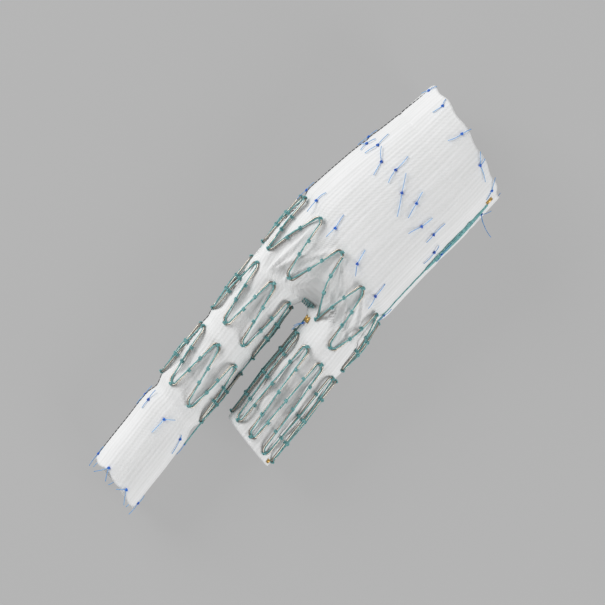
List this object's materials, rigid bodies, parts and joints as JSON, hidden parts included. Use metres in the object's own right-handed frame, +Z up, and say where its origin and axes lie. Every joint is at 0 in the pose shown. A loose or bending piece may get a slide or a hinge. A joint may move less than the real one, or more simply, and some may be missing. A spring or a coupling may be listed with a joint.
{
  "type": "endovascular stent graft",
  "caption": "Bifurcated woven polyester vessel graft with zigzag wire stents, a long and a short leg, braided and monofilament sutures and gold markers.",
  "frame": {"origin": "middle of the trunk's mouth", "axes": "+X out of the trunk's mouth, +Y towards the long leg's side, +Z up as the graft lies"},
  "size_m": [0.1041, 0.0347, 0.0255],
  "materials": {
    "fabric": "matte woven",
    "wire": "polished",
    "braided_suture": "matte braid",
    "monofilament": "gloss",
    "gold": "polished"
  },
  "bodies": {
    "root": {"graft_fabric": "fabric", "trunk_outer_stent": "wire", "long_leg_upper_stent": "wire", "long_leg_lower_stent": "wire", "short_leg_stent": "wire", "trunk_mouth_stent": "wire", "trunk_middle_stent": "wire", "long_leg_end_stent": "wire", "trunk_outer_stent_stitches": "braided_suture", "long_leg_upper_stent_stitches": "braided_suture", "long_leg_lower_stent_stitches": "braided_suture", "short_leg_stent_stitches": "braided_suture", "crotch_stitches": "braided_suture", "seam_threads": "braided_suture", "trunk_mouth_knots": "monofilament", "trunk_upper_middle_knots": "monofilament", "trunk_lower_middle_knots": "monofilament", "trunk_lower_knots": "monofilament", "long_leg_upper_knots": "monofilament", "long_leg_end_knots": "monofilament", "mouth_marker": "gold", "crotch_markers": "gold", "short_leg_marker": "gold"}
  },
  "joints": []
}
